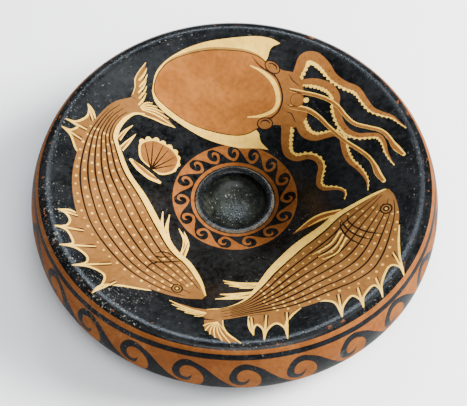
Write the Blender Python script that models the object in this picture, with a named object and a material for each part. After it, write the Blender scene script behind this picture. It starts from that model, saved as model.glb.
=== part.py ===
"""Fish plate of black-glazed clay, thrown on the wheel: a floor that slopes down to a
small central well, a deep overhanging rim and a low hollow foot. Metres, +Z up, with
the origin on the ground under the middle of the foot."""

from math import asin, cos, pi, radians, sin, tan

import bmesh
import bpy

# Rim: widest radius, height from its lower edge to its crest, and its curves
RIM_RADIUS = 0.120
RIM_DEPTH = 0.036
RIM_CLEARANCE = 0.018
RIM_WALL = 0.0062
BULGE_RADIUS = 0.062
SHOULDER_RADIUS = 0.0056
SHOULDER_TURN = radians(70)
LIP_RADIUS = 0.0018

# Sloping floor
FLOOR_SLOPE = radians(14.8)
FLOOR_WALL = 0.0062
UNDERSIDE_FILLET = 0.006

# Central well, with a raised ridge and a groove round it
WELL_RADIUS = 0.0188
WELL_DEPTH = 0.0085
WELL_FULLNESS = 2.6
RIDGE_WIDTH = 0.0041
RIDGE_HEIGHT = 0.0008
RIDGE_FALL = 0.0011
GROOVE_WIDTH = 0.0011
GROOVE_DEPTH = 0.0008

# Foot: a rounded edge, a short stem above it and a hollow under it
FOOT_RADIUS = 0.043
FOOT_EDGE_RADIUS = 0.0035
FOOT_BAND_WIDTH = 0.0065
FOOT_FLARE = 0.0085
FLARE_HEIGHT = 0.005
STEM_FILLET = 0.0075
BASE_WALL = 0.0055
HOLLOW_FULLNESS = 3.0

TURNED_SIDES = 80
SHARP_EDGE = radians(40)
GLAZE_COLOUR = (0.012, 0.013, 0.016, 1.0)
GLAZE_ROUGHNESS = 0.3

# The level of the rim's crest, and the centres of its bulge and of its shoulder
CREST_Z = RIM_CLEARANCE + RIM_DEPTH
BULGE_R = RIM_RADIUS - BULGE_RADIUS
SHOULDER_R = BULGE_R + (BULGE_RADIUS - SHOULDER_RADIUS) * sin(SHOULDER_TURN)
SHOULDER_Z = CREST_Z - SHOULDER_RADIUS
BULGE_Z = SHOULDER_Z - (BULGE_RADIUS - SHOULDER_RADIUS) * cos(SHOULDER_TURN)


def arc(centre, radii, start, end, steps):
    """Points (r, z) round a centre; an angle of 0 points outwards and pi/2 points up."""
    angles = [start + (end - start) * i / steps for i in range(steps + 1)]
    return [(centre[0] + radii[0] * cos(a), centre[1] + radii[1] * sin(a)) for a in angles]


def round_arc(centre, radius, start, end, steps):
    return arc(centre, (radius, radius), start, end, steps)


def dome(radius, height, fullness, steps):
    """Points from the axis, (0, height), out to (radius, 0) along a full-bellied curve."""
    turns = [pi / 2 * (1 - i / steps) for i in range(steps + 1)]
    power = 2 / fullness
    return [(radius * abs(cos(t)) ** power, height * sin(t) ** power) for t in turns]


def floor_z(radius):
    """Height of the sloping floor, which leaves the shoulder's curve as its tangent."""
    start_r = SHOULDER_R - SHOULDER_RADIUS * sin(FLOOR_SLOPE)
    start_z = SHOULDER_Z + SHOULDER_RADIUS * cos(FLOOR_SLOPE)
    return start_z - (start_r - radius) * tan(FLOOR_SLOPE)


def underside_z(radius):
    return floor_z(radius) - FLOOR_WALL / cos(FLOOR_SLOPE)


def fillet_under_floor(centre_r, radius, start, end, steps):
    """A round corner that touches the floor's underside."""
    centre = (centre_r, underside_z(centre_r) - radius / cos(FLOOR_SLOPE))
    return round_arc(centre, radius, start, end, steps)


def well_outline():
    """From the axis out over the bowl, up the ridge, through the groove to the floor."""
    crest_r = WELL_RADIUS + RIDGE_WIDTH
    floor_r = crest_r + GROOVE_WIDTH
    ridge_z = floor_z(floor_r) + RIDGE_HEIGHT
    edge_z = ridge_z - RIDGE_FALL
    bowl = dome(WELL_RADIUS, -WELL_DEPTH, WELL_FULLNESS, 6)
    points = [(r, edge_z + z) for r, z in bowl]
    points += arc((crest_r, edge_z), (-RIDGE_WIDTH, RIDGE_FALL), 0, pi / 2, 3)[1:]
    points.append((crest_r + GROOVE_WIDTH / 2, floor_z(floor_r) - GROOVE_DEPTH))
    points.append((floor_r, floor_z(floor_r)))
    return points, edge_z - WELL_DEPTH


def rim_outline():
    """Over the shoulder, down the bulging face, round the lip and up behind the rim."""
    meeting = pi / 2 - SHOULDER_TURN
    lip_z = RIM_CLEARANCE + LIP_RADIUS
    low = asin((lip_z - BULGE_Z) / (BULGE_RADIUS - LIP_RADIUS))
    lip_r = BULGE_R + (BULGE_RADIUS - LIP_RADIUS) * cos(low)
    shoulder, bulge = (SHOULDER_R, SHOULDER_Z), (BULGE_R, BULGE_Z)
    points = round_arc(shoulder, SHOULDER_RADIUS, pi / 2 + FLOOR_SLOPE, pi / 2, 1)
    points += round_arc(shoulder, SHOULDER_RADIUS, pi / 2, meeting, 5)[1:]
    points += round_arc(bulge, BULGE_RADIUS, meeting, 0, 4)[1:]
    points += round_arc(bulge, BULGE_RADIUS, 0, low, 2)[1:]
    points += round_arc((lip_r, lip_z), LIP_RADIUS, low, -pi, 4)[1:]
    corner_r = RIM_RADIUS - RIM_WALL - UNDERSIDE_FILLET
    return points + fillet_under_floor(corner_r, UNDERSIDE_FILLET, 0, pi / 2 + FLOOR_SLOPE, 4)


def foot_outline(well_bottom_z):
    """Down the stem, round the foot's edge, across its band and up into the hollow."""
    stem_r = FOOT_RADIUS - FOOT_FLARE
    edge_r = FOOT_RADIUS - FOOT_EDGE_RADIUS
    flare = (edge_r, 2 * FOOT_EDGE_RADIUS + FLARE_HEIGHT)
    points = fillet_under_floor(stem_r + STEM_FILLET, STEM_FILLET, pi / 2 + FLOOR_SLOPE, pi, 4)
    points += arc(flare, (edge_r - stem_r, FLARE_HEIGHT), pi, pi * 3 / 2, 3)
    points += round_arc((edge_r, FOOT_EDGE_RADIUS), FOOT_EDGE_RADIUS, pi / 2, 0, 2)[1:]
    points += round_arc((edge_r, FOOT_EDGE_RADIUS), FOOT_EDGE_RADIUS, 0, -pi / 2, 2)[1:]
    hollow = dome(edge_r - FOOT_BAND_WIDTH, well_bottom_z - BASE_WALL, HOLLOW_FULLNESS, 6)
    return points + hollow[::-1]


def plate_material():
    glaze = bpy.data.materials.new("black_glaze")
    glaze.use_nodes = True
    shader = glaze.node_tree.nodes["Principled BSDF"]
    shader.inputs["Base Color"].default_value = GLAZE_COLOUR
    shader.inputs["Roughness"].default_value = GLAZE_ROUGHNESS
    shader.inputs["Metallic"].default_value = 0.0
    return glaze


def turn_plate():
    """The whole plate is one wall, so its outline is spun once round the axis."""
    well, well_bottom_z = well_outline()
    outline = well + rim_outline() + foot_outline(well_bottom_z)
    shape = bmesh.new()
    points = [shape.verts.new((r, 0, z)) for r, z in outline]
    edges = [shape.edges.new(pair) for pair in zip(points, points[1:])]
    bmesh.ops.spin(
        shape,
        geom=points + edges,
        axis=(0, 0, 1),
        cent=(0, 0, 0),
        angle=2 * pi,
        steps=TURNED_SIDES,
        use_merge=True,
    )
    bmesh.ops.remove_doubles(shape, verts=shape.verts, dist=1e-6)
    bmesh.ops.recalc_face_normals(shape, faces=shape.faces)
    mesh = bpy.data.meshes.new("fish_plate")
    shape.to_mesh(mesh)
    shape.free()
    mesh.shade_smooth()
    mesh.set_sharp_from_angle(angle=SHARP_EDGE)
    mesh.materials.append(plate_material())
    plate = bpy.data.objects.new("fish_plate", mesh)
    bpy.context.scene.collection.objects.link(plate)


for leftover in list(bpy.data.objects):
    bpy.data.objects.remove(leftover, do_unlink=True)
turn_plate()
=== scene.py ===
from math import asin, cos, pi, radians, sin, tan

import bmesh
import bpy
import numpy as np
from mathutils import Matrix, Vector
from mathutils.geometry import delaunay_2d_cdt


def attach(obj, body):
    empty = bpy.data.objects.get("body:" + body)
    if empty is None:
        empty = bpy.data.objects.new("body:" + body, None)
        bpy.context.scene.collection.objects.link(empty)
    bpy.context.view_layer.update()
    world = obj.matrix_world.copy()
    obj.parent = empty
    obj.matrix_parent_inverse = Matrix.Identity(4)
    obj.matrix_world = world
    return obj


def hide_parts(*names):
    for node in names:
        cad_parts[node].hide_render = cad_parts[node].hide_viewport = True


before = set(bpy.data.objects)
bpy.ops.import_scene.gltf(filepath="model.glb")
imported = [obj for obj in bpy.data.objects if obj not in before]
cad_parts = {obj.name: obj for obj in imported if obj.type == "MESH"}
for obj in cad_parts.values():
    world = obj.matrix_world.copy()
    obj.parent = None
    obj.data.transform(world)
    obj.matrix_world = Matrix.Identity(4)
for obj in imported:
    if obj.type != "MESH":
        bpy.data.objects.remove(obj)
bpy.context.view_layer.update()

# The photographer's view of the plate, from above its near side. The camera stands eleven
# radii off, looks down at the middle of the floor and is rolled a little.
PHOTO_WIDTH = 467
SENSOR_WIDTH = 36.0
FOCAL_PIXELS = 2238.9
DOWNWARD_TILT = radians(57.2)
CAMERA_ROLL = radians(1.6)
AIM_POINT = Vector((0.0, 0.0, 0.03464))
AIM_IN_VIEW = Vector((0.00086, -0.003893, 1.32))


def set_camera():
    tilt = Matrix((
        (1, 0, 0),
        (0, -sin(DOWNWARD_TILT), -cos(DOWNWARD_TILT)),
        (0, cos(DOWNWARD_TILT), -sin(DOWNWARD_TILT)),
    ))
    roll = Matrix((
        (cos(CAMERA_ROLL), -sin(CAMERA_ROLL), 0),
        (sin(CAMERA_ROLL), cos(CAMERA_ROLL), 0),
        (0, 0, 1),
    ))
    right, down, forward = roll @ tilt
    data = bpy.data.cameras.new("photo_camera")
    data.sensor_width = SENSOR_WIDTH
    data.lens = FOCAL_PIXELS / PHOTO_WIDTH * SENSOR_WIDTH
    camera = bpy.data.objects.new("photo_camera", data)
    place = AIM_POINT - (roll @ tilt).transposed() @ AIM_IN_VIEW
    axes = Matrix((right, -down, -forward)).transposed()
    camera.matrix_world = Matrix.Translation(place) @ axes.to_4x4()
    bpy.context.scene.collection.objects.link(camera)
    bpy.context.scene.camera = camera


set_camera()

# Studio floor and light: a pale sheet of paper, a soft box on the right, so the shadow
# falls to the lower left, a broad fill overhead, a cool strip at the back that glints
# along the near shoulder, and a faint veil of light on the black at the back left.
FLOOR_SPAN = 14.0
FLOOR_GREY = (0.92, 0.925, 0.93, 1.0)
ROOM_COLOUR = (0.93, 0.95, 1.0, 1.0)
ROOM_STRENGTH = 0.36
# Each soft box: place, size, power, colour, and whether it glints on the gloss. The key is
# polarised, so it doesn't.
SOFT_BOXES = {
    "key": ((1.38, 0.24, 1.00), (0.9, 0.9), 153.0, (1.0, 0.985, 0.96), False),
    "fill": ((0.20, -0.62, 1.38), (1.0, 1.0), 22.0, (0.97, 0.985, 1.0), True),
    "strip": ((0.0, 1.0, 1.28), (0.38, 0.13), 8.0, (0.74, 0.87, 1.0), True),
    "veil": ((0.39, 0.38, 1.33), (0.45, 0.45), 3.3, (0.82, 0.91, 1.0), True),
}


def lay_floor():
    bpy.ops.mesh.primitive_plane_add(size=FLOOR_SPAN)
    floor = bpy.context.object
    floor.name = "paper_floor"
    paper = bpy.data.materials.new("pale_paper")
    paper.use_nodes = True
    shader = paper.node_tree.nodes["Principled BSDF"]
    shader.inputs["Base Color"].default_value = FLOOR_GREY
    shader.inputs["Roughness"].default_value = 0.9
    floor.data.materials.append(paper)


def hang_soft_box(name, place, size, power, colour, glints):
    light = bpy.data.lights.new(name, "AREA")
    light.shape = "RECTANGLE"
    light.size, light.size_y = size
    light.energy = power
    light.color = colour
    lamp = bpy.data.objects.new(name, light)
    lamp.visible_glossy = glints
    lamp.location = place
    lamp.rotation_euler = (AIM_POINT - Vector(place)).to_track_quat("-Z", "Y").to_euler()
    bpy.context.scene.collection.objects.link(lamp)


def light_room():
    world = bpy.data.worlds.new("studio")
    world.use_nodes = True
    background = world.node_tree.nodes["Background"]
    background.inputs["Color"].default_value = ROOM_COLOUR
    background.inputs["Strength"].default_value = ROOM_STRENGTH
    bpy.context.scene.world = world
    for name, details in SOFT_BOXES.items():
        hang_soft_box(name, *details)


lay_floor()
light_room()

# Thrown body: one clay wall, turned on the wheel from the small well in the middle over
# the sloping floor, the rounded rim and the underside to the hollow of the foot.
MM = 0.001
RIM_RADIUS = 120.0
RIM_CREST = 54.0
RIM_CLEARANCE = 18.0
RIM_WALL = 6.2
BULGE_RADIUS = 62.0
SHOULDER_RADIUS = 5.6
SHOULDER_TURN = radians(70)
LIP_RADIUS = 1.8
FLOOR_SLOPE = radians(14.8)
FLOOR_WALL = 6.2
UNDERSIDE_FILLET = 6.0
WELL_RADIUS = 18.8
WELL_DEPTH = 8.5
WELL_FULLNESS = 2.6
RIDGE_WIDTH = 4.1
RIDGE_HEIGHT = 0.8
RIDGE_FALL = 1.1
GROOVE_WIDTH = 1.1
GROOVE_DEPTH = 0.8
FOOT_RADIUS = 43.0
FOOT_EDGE_RADIUS = 3.5
FOOT_BAND_WIDTH = 6.5
FOOT_FLARE = 8.5
FLARE_HEIGHT = 5.0
STEM_FILLET = 7.5
BASE_WALL = 5.5
HOLLOW_FULLNESS = 3.0
DOME_STEPS = 24
CORNER_STEPS = 10
SHOULDER_STEPS = (3, 12)
BULGE_STEPS = (14, 6)
LIP_STEPS = 12
FLARE_STEPS = 8
FOOT_EDGE_STEPS = 6
BULGE_R = RIM_RADIUS - BULGE_RADIUS
CREST_R = BULGE_R + (BULGE_RADIUS - SHOULDER_RADIUS) * sin(SHOULDER_TURN)
SHOULDER_Z = RIM_CREST - SHOULDER_RADIUS
BULGE_Z = SHOULDER_Z - (BULGE_RADIUS - SHOULDER_RADIUS) * cos(SHOULDER_TURN)
SLOPE_START_R = CREST_R - SHOULDER_RADIUS * sin(FLOOR_SLOPE)
SLOPE_START_Z = SHOULDER_Z + SHOULDER_RADIUS * cos(FLOOR_SLOPE)


def arc(centre, radii, start, end, steps):
    """Points (r, z) round a centre; an angle of 0 points outwards and pi/2 points up."""
    turns = np.linspace(start, end, steps + 1)
    return [(centre[0] + radii[0] * cos(t), centre[1] + radii[1] * sin(t)) for t in turns]


def round_arc(centre, radius, start, end, steps):
    return arc(centre, (radius, radius), start, end, steps)


def dome(radius, height, fullness, steps):
    """Points from the axis, (0, height), out to (radius, 0) along a full-bellied curve."""
    power = 2 / fullness
    turns = [pi / 2 * (1 - i / steps) for i in range(steps + 1)]
    return [(radius * abs(cos(t)) ** power, height * sin(t) ** power) for t in turns]


def floor_z(radius):
    return SLOPE_START_Z - (SLOPE_START_R - radius) * tan(FLOOR_SLOPE)


def fillet_under_floor(centre_r, radius, start, end, steps):
    under_floor = floor_z(centre_r) - FLOOR_WALL / cos(FLOOR_SLOPE)
    centre = (centre_r, under_floor - radius / cos(FLOOR_SLOPE))
    return round_arc(centre, radius, start, end, steps)


def well_outline():
    crest_r = WELL_RADIUS + RIDGE_WIDTH
    floor_r = crest_r + GROOVE_WIDTH
    edge_z = floor_z(floor_r) + RIDGE_HEIGHT - RIDGE_FALL
    bowl = dome(WELL_RADIUS, -WELL_DEPTH, WELL_FULLNESS, DOME_STEPS)
    points = [(r, edge_z + z) for r, z in bowl]
    points += arc((crest_r, edge_z), (-RIDGE_WIDTH, RIDGE_FALL), 0, pi / 2, CORNER_STEPS)[1:]
    points.append((crest_r + GROOVE_WIDTH / 2, floor_z(floor_r) - GROOVE_DEPTH))
    points.append((floor_r, floor_z(floor_r)))
    return points, edge_z - WELL_DEPTH


def rim_outline():
    meeting = pi / 2 - SHOULDER_TURN
    lip_z = RIM_CLEARANCE + LIP_RADIUS
    low = asin((lip_z - BULGE_Z) / (BULGE_RADIUS - LIP_RADIUS))
    lip_r = BULGE_R + (BULGE_RADIUS - LIP_RADIUS) * cos(low)
    shoulder, bulge = (CREST_R, SHOULDER_Z), (BULGE_R, BULGE_Z)
    points = round_arc(shoulder, SHOULDER_RADIUS, pi / 2 + FLOOR_SLOPE, pi / 2, SHOULDER_STEPS[0])
    points += round_arc(shoulder, SHOULDER_RADIUS, pi / 2, meeting, SHOULDER_STEPS[1])[1:]
    points += round_arc(bulge, BULGE_RADIUS, meeting, 0, BULGE_STEPS[0])[1:]
    points += round_arc(bulge, BULGE_RADIUS, 0, low, BULGE_STEPS[1])[1:]
    points += round_arc((lip_r, lip_z), LIP_RADIUS, low, -pi, LIP_STEPS)[1:]
    corner = (RIM_RADIUS - RIM_WALL - UNDERSIDE_FILLET, UNDERSIDE_FILLET)
    return points + fillet_under_floor(*corner, 0, pi / 2 + FLOOR_SLOPE, CORNER_STEPS)


def foot_outline(well_bottom_z):
    stem_r = FOOT_RADIUS - FOOT_FLARE
    edge_r = FOOT_RADIUS - FOOT_EDGE_RADIUS
    edge = (edge_r, FOOT_EDGE_RADIUS)
    flare = (edge_r, 2 * FOOT_EDGE_RADIUS + FLARE_HEIGHT)
    stem = (stem_r + STEM_FILLET, STEM_FILLET)
    points = fillet_under_floor(*stem, pi / 2 + FLOOR_SLOPE, pi, CORNER_STEPS)
    points += arc(flare, (edge_r - stem_r, FLARE_HEIGHT), pi, pi * 3 / 2, FLARE_STEPS)
    points += round_arc(edge, FOOT_EDGE_RADIUS, pi / 2, 0, FOOT_EDGE_STEPS)[1:]
    points += round_arc(edge, FOOT_EDGE_RADIUS, 0, -pi / 2, FOOT_EDGE_STEPS)[1:]
    hollow = (edge_r - FOOT_BAND_WIDTH, well_bottom_z - BASE_WALL)
    return points + dome(*hollow, HOLLOW_FULLNESS, DOME_STEPS)[::-1]


def plate_outline():
    """The outline (r, z), its length so far, and its place in the paint plan: the radius
    up to the crest, then the crest's radius plus the length walked down the rim."""
    well, well_bottom_z = well_outline()
    outline = np.array(well + rim_outline() + foot_outline(well_bottom_z))
    length = np.concatenate([[0], np.cumsum(np.hypot(*np.diff(outline, axis=0).T))])
    crest = int(np.argmax(outline[:, 1]))
    plan = np.concatenate([outline[:crest, 0], CREST_R + length[crest:] - length[crest]])
    return outline, length, plan


OUTLINE, OUTLINE_LENGTH, OUTLINE_PLAN = plate_outline()

# Glaze and paints: iron-black glaze left glossy by the kiln, bare orange clay, a thin
# ochre wash, thick cream slip and dark dilute lines, all worn by burial and handling.
# Each has a dark and a light colour, a roughness, a shine and its share of the wear.
PAINTS = {
    "black": ((0.0010, 0.0012, 0.0013), (0.0125, 0.0136, 0.0147), 0.20, 0.16, 1.0),
    "wave": ((0.0010, 0.0013, 0.0017), (0.0110, 0.0128, 0.0145), 0.45, 0.03, 0.8),
    "clay": ((0.135, 0.043, 0.010), (0.240, 0.085, 0.020), 0.62, 0.02, 0.5),
    "ochre": ((0.130, 0.055, 0.014), (0.205, 0.092, 0.026), 0.58, 0.02, 0.45),
    "skin": ((0.145, 0.055, 0.013), (0.240, 0.095, 0.024), 0.58, 0.02, 0.4),
    "mantle": ((0.18, 0.060, 0.012), (0.300, 0.108, 0.022), 0.56, 0.02, 0.4),
    "amber": ((0.21, 0.105, 0.020), (0.34, 0.175, 0.036), 0.6, 0.02, 0.4),
    "dots": ((0.42, 0.24, 0.048), (0.60, 0.36, 0.08), 0.6, 0.02, 0.3),
    "cream": ((0.56, 0.34, 0.050), (0.90, 0.55, 0.090), 0.66, 0.02, 0.35),
    "line": ((0.004, 0.002, 0.001), (0.012, 0.005, 0.002), 0.5, 0.1, 0.2),
    "wash": ((0.055, 0.018, 0.004), (0.095, 0.032, 0.008), 0.55, 0.02, 0.3),
    # The pale ring on the well's ridge: worn glaze with a painted highlight along its crest
    "crest_wear_and_highlight": ((0.020, 0.015, 0.010), (0.13, 0.10, 0.065), 0.6, 0.1, 0.8),
    "bowl": ((0.0022, 0.0028, 0.0022), (0.022, 0.025, 0.018), 0.30, 0.18, 0.8),
}
SPECK_COLOUR = (0.20, 0.195, 0.165, 1.0)
CHIP_COLOUR = (0.11, 0.036, 0.012, 1.0)
MOTTLE_SCALE = 48.0
CLOUD_SCALE = 380.0
CLOUD_SHARE = 0.35
GRAIN_SCALE = 1300.0
GRAIN_IN_GLOSS = 0.25
GRAIN_IN_RELIEF = 0.6
WHEEL_LINE_SCALE = 420.0
RELIEF_HEIGHT = 0.00016
RELIEF_STRENGTH = 0.6
PATCH_SCALE = 21.0
FLECK_SCALE = 640.0
FLECK_REACH = (0.68, 0.58)
SCRATCH_SPREAD = 16.0
SCRATCH_SCALE = 1500.0
SCRATCH_STRENGTH = 0.40
CHIP_SCALE = 150.0
CHIP_REACH = (0.70, 0.74)
CREST_WEAR_RADIUS = 0.1125
CREST_WEAR_WIDTH = 0.0035
CREST_WEAR = 0.125
WORN_EDGE = (0.088, 0.110)
WORN_LEFT = (0.03, -0.09)
WORN_BOWL = (0.021, 0.013)


def new_node(tree, kind, links=(), **settings):
    """A node with its settings, and its inputs set to a value or linked to a socket."""
    node = tree.nodes.new(kind)
    for name, value in settings.items():
        setattr(node, name, value)
    for key, value in dict(links).items():
        if isinstance(value, bpy.types.NodeSocket):
            tree.links.new(value, node.inputs[key])
        else:
            node.inputs[key].default_value = value
    return node


def maths(tree, operation, *values):
    """The result of one operation on one to three numbers or sockets."""
    return new_node(tree, "ShaderNodeMath", enumerate(values), operation=operation).outputs[0]


def vector_maths(tree, operation, *values):
    return new_node(tree, "ShaderNodeVectorMath", enumerate(values), operation=operation).outputs


def joined(tree, **axes):
    """The vector with these values along X, Y and Z."""
    return new_node(tree, "ShaderNodeCombineXYZ", axes).outputs[0]


def parts(tree, vector):
    """The sockets X, Y and Z of a vector."""
    return new_node(tree, "ShaderNodeSeparateXYZ", {0: vector}).outputs


def wear_group():
    """Kiln mottling, white specks, chips, and the bump of wheel lines and grain."""
    tree = bpy.data.node_groups.new("kiln_and_wear", "ShaderNodeTree")
    for name in ("Mottle", "Grain", "Speck", "Chip"):
        tree.interface.new_socket(name, in_out="OUTPUT", socket_type="NodeSocketFloat")
    tree.interface.new_socket("Normal", in_out="OUTPUT", socket_type="NodeSocketVector")
    place = new_node(tree, "ShaderNodeTexCoord").outputs["Object"]

    def noise(scale, detail, roughness=0.5, vector=place):
        values = {"Vector": vector, "Scale": scale, "Detail": detail, "Roughness": roughness}
        return new_node(tree, "ShaderNodeTexNoise", values).outputs[0]

    def remap(value, low, high, to_low=0.0, to_high=1.0):
        values = {0: value, 1: low, 2: high, 3: to_low, 4: to_high}
        return new_node(tree, "ShaderNodeMapRange", values).outputs[0]

    split = parts(tree, place)
    flat = joined(tree, X=split["X"], Y=split["Y"])
    radius = vector_maths(tree, "LENGTH", flat)["Value"]

    # White flecks gather in patches, in the bowl and at the left edge of the floor
    patches = noise(PATCH_SCALE, 4.0, 0.6)
    at_left = remap(split["X"], *WORN_LEFT, 0.25, 1.0)
    worn = maths(tree, "MULTIPLY", remap(radius, *WORN_EDGE), at_left)
    worn = maths(tree, "ADD", remap(patches, 0.48, 0.74), worn)
    worn = maths(tree, "ADD", worn, remap(radius, *WORN_BOWL, 0.0, 1.1))
    reach = remap(worn, 0.0, 1.5, *FLECK_REACH)
    fleck = remap(maths(tree, "SUBTRACT", noise(FLECK_SCALE, 5.0, 0.72), reach), 0.0, 0.06)

    # Fine scratches run round the plate
    bearing = parts(tree, vector_maths(tree, "NORMALIZE", flat)[0])
    stretched = {axis: maths(tree, "MULTIPLY", bearing[axis], SCRATCH_SPREAD) for axis in "XY"}
    stretched["Z"] = maths(tree, "MULTIPLY", radius, SCRATCH_SCALE)
    streaks = noise(1.0, 4.0, 0.6, joined(tree, **stretched))
    scratch = remap(streaks, 0.62, 0.78, 0.0, SCRATCH_STRENGTH)
    scratch = maths(tree, "MULTIPLY", scratch, remap(patches, 0.40, 0.60))
    speck = maths(tree, "MAXIMUM", fleck, scratch)

    # Chips show bare clay, most of all along the crest of the rim
    off_crest = maths(tree, "ABSOLUTE", maths(tree, "SUBTRACT", radius, CREST_WEAR_RADIUS))
    crest = remap(off_crest, 0.0, CREST_WEAR_WIDTH, CREST_WEAR, 0.0)
    chip = remap(maths(tree, "ADD", noise(CHIP_SCALE, 5.0, 0.75), crest), *CHIP_REACH)

    # The clay's grain and the lines left by the wheel, and the cloudy black of the kiln
    grain = noise(GRAIN_SCALE, 3.0)
    wheel_lines = noise(WHEEL_LINE_SCALE, 3.0, 0.5, joined(tree, X=radius, Z=split["Z"]))
    relief = maths(tree, "MULTIPLY_ADD", grain, GRAIN_IN_RELIEF, wheel_lines)
    values = {"Height": relief, "Strength": RELIEF_STRENGTH, "Distance": RELIEF_HEIGHT}
    bump = new_node(tree, "ShaderNodeBump", values).outputs[0]
    cloud = maths(tree, "MULTIPLY", noise(CLOUD_SCALE, 3.0), CLOUD_SHARE)
    cloud = maths(tree, "ADD", noise(MOTTLE_SCALE, 7.0, 0.72), cloud)
    sockets = (remap(cloud, 0.56, 0.96), grain, speck, chip, bump)
    new_node(tree, "NodeGroupOutput", enumerate(sockets))
    return tree


WEAR = wear_group()


def mix_colour(tree, share, first, second):
    links = {0: share, 6: first, 7: second}
    return new_node(tree, "ShaderNodeMix", links, data_type="RGBA").outputs[2]


def paint_material(name, dark, light, roughness, shine, worn):
    material = bpy.data.materials.new(name)
    material.use_nodes = True
    tree = material.node_tree
    wear = new_node(tree, "ShaderNodeGroup", node_tree=WEAR).outputs
    colour = mix_colour(tree, wear["Mottle"], (*dark, 1.0), (*light, 1.0))
    chips = maths(tree, "MULTIPLY", wear["Chip"], worn)
    specks = maths(tree, "MULTIPLY", wear["Speck"], worn)
    colour = mix_colour(tree, chips, colour, CHIP_COLOUR)
    colour = mix_colour(tree, specks, colour, SPECK_COLOUR)
    least = roughness - GRAIN_IN_GLOSS / 2
    gloss = maths(tree, "MULTIPLY_ADD", wear["Grain"], GRAIN_IN_GLOSS, least)
    shader = tree.nodes["Principled BSDF"]
    shader.inputs["Specular IOR Level"].default_value = shine
    tree.links.new(colour, shader.inputs["Base Color"])
    tree.links.new(gloss, shader.inputs["Roughness"])
    tree.links.new(wear["Normal"], shader.inputs["Normal"])
    return material


MATERIALS = {name: paint_material(name, *values) for name, values in PAINTS.items()}

# Painter's hand: every figure is drawn in a flat plan of the plate, in millimetres, with
# x to the right and y away from the viewer. Later strokes lie over earlier ones.
HAND_SEED = 23
BRUSH_STEP = 1.2
ROUND_SIDES = 360
paint_layers = []
hand = np.random.default_rng(HAND_SEED)


def smooth(points, step=BRUSH_STEP, closed=False):
    """An even, smooth curve through the points."""
    keys = np.array(points, float)
    slope = (np.roll(keys, -1, 0) - np.roll(keys, 1, 0)) / 2
    if not closed:
        slope[0] = keys[1] - keys[0]
        slope[-1] = keys[-1] - keys[-2]
    spans = len(keys) if closed else len(keys) - 1
    curve = []
    for i in range(spans):
        a, b = keys[i], keys[(i + 1) % len(keys)]
        count = max(2, int(np.ceil(np.hypot(*(b - a)) / step)))
        t = np.linspace(0, 1, count, endpoint=False)[:, None]
        ease = 3 * t**2 - 2 * t**3
        curve.append(
            a * (1 - ease)
            + b * ease
            + slope[i] * (t**3 - 2 * t**2 + t)
            + slope[(i + 1) % len(keys)] * (t**3 - t**2)
        )
    if not closed:
        curve.append(keys[-1:])
    return np.concatenate(curve)


def fill(paint, outline):
    paint_layers.append((paint, np.array(outline, float)))


def spread(values, count):
    """One number or several, spread evenly over that many points."""
    return np.interp(np.linspace(0, 1, count), np.linspace(0, 1, np.size(values)), np.ravel(values))


def stroke(paint, path, widths, step=BRUSH_STEP):
    """A brush stroke along the path, with its widths spread over it."""
    line = smooth(path, step)
    way = np.gradient(line, axis=0)
    way /= np.hypot(*way.T)[:, None] + 1e-9
    side = np.stack([-way[:, 1], way[:, 0]], 1) * spread(widths, len(line))[:, None] / 2
    fill(paint, np.concatenate([line + side, (line - side)[::-1]]))


def round_points(turns):
    return np.stack([np.cos(turns), np.sin(turns)], 1)


def dot(paint, centre, radius, sides=8):
    turns = np.arange(sides) * 2 * pi / sides
    fill(paint, np.array(centre) + radius * round_points(turns))


def ring(paint, radius, sway=0.0, lobes=3):
    """Fills a disc whose edge strays from the circle as the painter's line did."""
    turns = np.arange(ROUND_SIDES) * 2 * pi / ROUND_SIDES
    edge = radius - sway * np.cos(lobes * (turns + pi / 2))
    fill(paint, edge[:, None] * round_points(turns))


# Running waves: the potter's border, painted in black on the bare clay of the rim, and
# in bare clay round the well. One wave is drawn by brush and repeated round the circle.
WAVE_PITCH = 32.6
WAVE_OUTER = [(30, -14), (22.5, -7), (16.6, 0), (10.4, 7), (4, 11), (0, 12.2), (-4.5, 10.5), (-7.8, 5)]
WAVE_CURL = [(-8.8, -1), (-7, -6.5), (-3, -9.3), (0.5, -8.8), (2.2, -5), (2.9, -1)]
WAVE_INNER = [(1.5, -3.5), (-0.5, -5.2), (-3, -4.5), (-4.3, -1), (-4, 3), (-1.5, 6.5), (2.5, 6.9)]
WAVE_BACK = [(6.5, 4), (9, -1), (9.2, -7), (7.5, -11.5), (5, -14)]
WAVE_FOOT = [(5, -16.5), (30, -16.5)]
WAVE_STEP = 1.5


def node_input(tree, name, kind):
    """A named input of the tree, which is set through its identifier."""
    socket = tree.interface.new_socket(name, in_out="INPUT", socket_type="NodeSocket" + kind)
    return socket.identifier


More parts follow.
